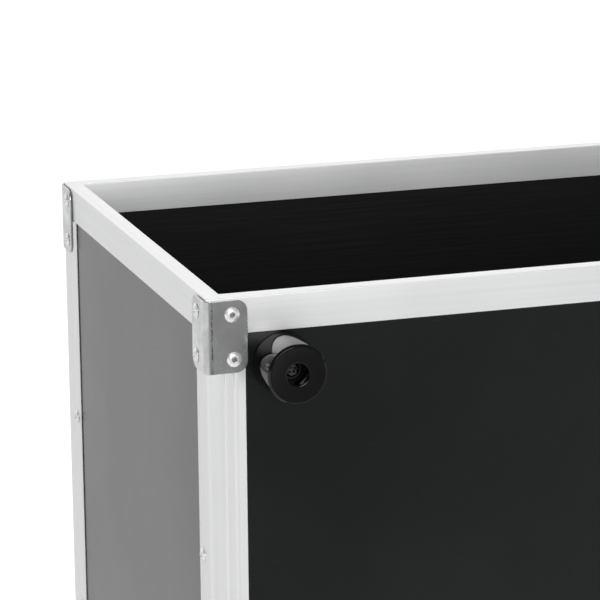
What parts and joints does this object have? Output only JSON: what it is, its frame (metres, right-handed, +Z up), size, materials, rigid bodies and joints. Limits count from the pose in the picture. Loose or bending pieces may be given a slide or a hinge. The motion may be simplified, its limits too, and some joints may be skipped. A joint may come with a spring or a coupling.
{
  "type": "hard equipment case",
  "caption": "Open-topped hard equipment case: black laminated plywood panels in aluminium edge extrusions, with steel corners, rubber feet, sprung side handles, a turn latch and two hinge halves.",
  "frame": {"origin": "centre of the bounding box in X and Y, at the lowest point of the base corners", "axes": "+Z up through the open top, +X along the long side, -Y out of the front panel that carries the rubber feet"},
  "size_m": [0.6712, 0.4012, 0.6307],
  "materials": {
    "laminate": "smooth black phenolic laminate, satin",
    "plywood": "black stained plywood with faint grain",
    "aluminium": "anodised, satin",
    "zinc_steel": "zinc plated, slightly mottled",
    "bright_steel": "bright plated",
    "rubber": "glossy moulded black rubber",
    "grip_rubber": "matt black rubber sleeve"
  },
  "bodies": {
    "root": {"panel_front": "laminate", "panel_back": "laminate", "panel_left": "laminate", "panel_right": "laminate", "panel_base": "plywood", "rim_front": "aluminium", "rim_back": "aluminium", "rim_left": "aluminium", "rim_right": "aluminium", "post_front_left": "aluminium", "post_front_right": "aluminium", "post_back_right": "aluminium", "post_back_left": "aluminium", "base_edge_front": "aluminium", "base_edge_back": "aluminium", "base_edge_left": "aluminium", "base_edge_right": "aluminium", "bracket_front_left": "zinc_steel", "bracket_front_right": "zinc_steel", "bracket_back_right": "zinc_steel", "bracket_back_left": "zinc_steel", "ball_corner_front_left": "zinc_steel", "ball_corner_front_right": "zinc_steel", "ball_corner_back_right": "zinc_steel", "ball_corner_back_left": "zinc_steel", "foot_upper_left": "rubber", "foot_washer_upper_left": "bright_steel", "foot_screw_upper_left": "zinc_steel", "foot_lower_left": "rubber", "foot_washer_lower_left": "bright_steel", "foot_screw_lower_left": "zinc_steel", "foot_upper_right": "rubber", "foot_washer_upper_right": "bright_steel", "foot_screw_upper_right": "zinc_steel", "foot_lower_right": "rubber", "foot_washer_lower_right": "bright_steel", "foot_screw_lower_right": "zinc_steel", "handle_dish_left": "zinc_steel", "handle_spring_left": "bright_steel", "handle_dish_right": "zinc_steel", "handle_spring_right": "bright_steel", "latch_dish": "zinc_steel", "hinge_leaf_left": "zinc_steel", "hinge_pin_left": "bright_steel", "hinge_leaf_right": "zinc_steel", "hinge_pin_right": "bright_steel"},
    "bail_left": {"handle_bail_left": "zinc_steel", "handle_grip_left": "grip_rubber"},
    "bail_right": {"handle_bail_right": "zinc_steel", "handle_grip_right": "grip_rubber"},
    "latch_hook_body": {"latch_hook": "zinc_steel"},
    "latch_cam_body": {"latch_cam": "zinc_steel"},
    "latch_wing_body": {"latch_wing": "zinc_steel"}
  },
  "joints": [
    {"name": "bail_fold_left", "type": "hinge", "parent": "root", "child": "bail_left", "pos_m": [-0.32375, 0.01257, 0.3151], "axis": [0, 1, 0], "range_deg": [0, 90], "stiffness_Nm_per_rad": 0.4, "springref_deg": -20.05},
    {"name": "bail_fold_right", "type": "hinge", "parent": "root", "child": "bail_right", "pos_m": [0.32375, 0.01257, 0.3151], "axis": [0, -1, 0], "range_deg": [0, 90], "stiffness_Nm_per_rad": 0.4, "springref_deg": -20.05},
    {"name": "hook_slide", "type": "slide", "parent": "root", "child": "latch_hook_body", "axis": [0, 0, 1], "range_m": [0, 0.012]},
    {"name": "latch_turn", "type": "hinge", "parent": "root", "child": "latch_cam_body", "pos_m": [0, -0.16028, 0.5371], "axis": [0, -1, 0], "range_deg": [0, 180]},
    {"name": "wing_fold", "type": "hinge", "parent": "latch_cam_body", "child": "latch_wing_body", "pos_m": [0, -0.16628, 0.5371], "axis": [-1, 0, 0], "range_deg": [0, 90]}
  ],
  "couplings": [
    {"joint": "latch_turn", "follows": "hook_slide", "rad_per_m": 261.79}
  ]
}
